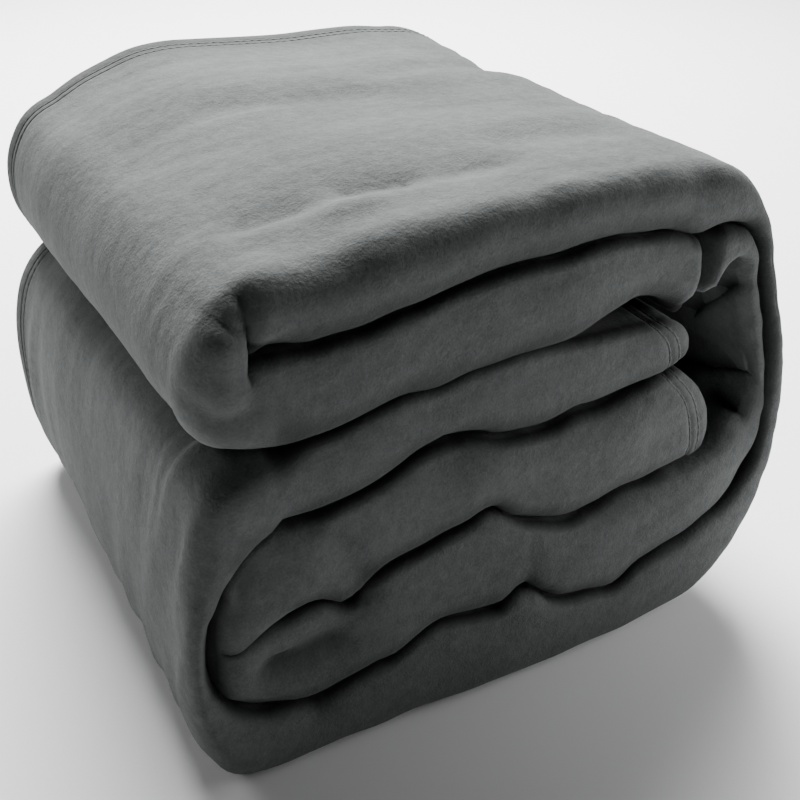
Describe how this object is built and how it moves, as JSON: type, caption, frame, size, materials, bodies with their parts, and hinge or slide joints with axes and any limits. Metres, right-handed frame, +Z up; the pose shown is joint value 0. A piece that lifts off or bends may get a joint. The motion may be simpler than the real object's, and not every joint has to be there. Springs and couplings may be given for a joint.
{
  "type": "folded throw blanket",
  "caption": "Charcoal fleece throw folded into a compact block: a strip of folded plies rolled in tiers, with a top fold that lifts and hemmed, double-stitched ends.",
  "frame": {"origin": "centre of the footprint, on the surface that the blanket rests on", "axes": "+X along the layered front towards the closed bend, +Y from the layered front to the back, +Z up"},
  "size_m": [0.2244, 0.2116, 0.1779],
  "materials": {
    "fleece": "matt brushed plush fleece, charcoal grey, with a soft short pile",
    "thread": "matt polyester sewing thread, charcoal grey"
  },
  "bodies": {
    "base": {"third_layer": "fleece", "third_layer_end_hem": "fleece", "third_layer_hem_stitch_1": "thread", "third_layer_hem_stitch_2": "thread", "fourth_layer": "fleece", "fourth_layer_end_hem": "fleece", "fourth_layer_hem_stitch_1": "thread", "fourth_layer_hem_stitch_2": "thread", "fifth_layer": "fleece", "bottom_layer": "fleece", "lower_left_wrap": "fleece", "inner_left_fold": "fleece", "outer_right_wrap": "fleece", "inner_right_wrap": "fleece"},
    "top_fold": {"top_layer": "fleece", "second_layer": "fleece", "upper_left_fold": "fleece"}
  },
  "joints": [
    {"name": "top_fold_open", "type": "hinge", "parent": "base", "child": "top_fold", "pos_m": [0.0605, 0, 0.1774], "axis": [0, 1, 0], "range_deg": [0, 60]}
  ]
}
